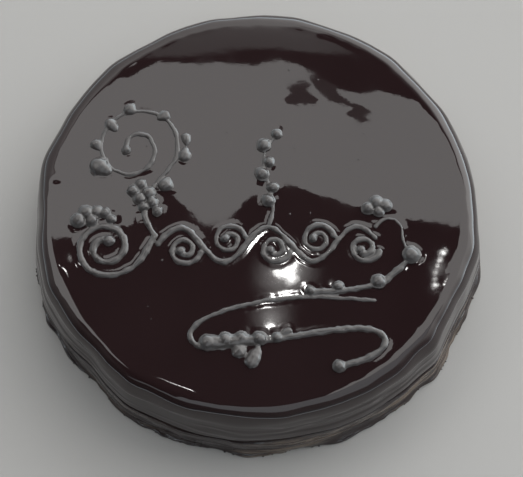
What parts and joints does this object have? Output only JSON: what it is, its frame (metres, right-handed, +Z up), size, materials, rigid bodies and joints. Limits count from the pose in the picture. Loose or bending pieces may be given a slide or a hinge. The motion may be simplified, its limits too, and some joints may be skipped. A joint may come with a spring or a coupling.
{
  "type": "sachertorte cake",
  "caption": "Uncut round chocolate torte under a poured mirror glaze, with piped scrolls, beads and a flourish on top.",
  "frame": {"origin": "middle of the flat underside, on the surface the cake stands on", "axes": "+Z up out of the glazed top, -Y towards the viewer of the piped decoration, +X to that viewer's right"},
  "size_m": [0.2416, 0.2422, 0.054],
  "materials": {
    "chocolate_glaze": "mirror-gloss dark chocolate glaze, nearly black with a red-brown tint, rougher where it was smeared round the foot"
  },
  "bodies": {
    "root": {"glazed_cake": "chocolate_glaze"}
  },
  "joints": []
}
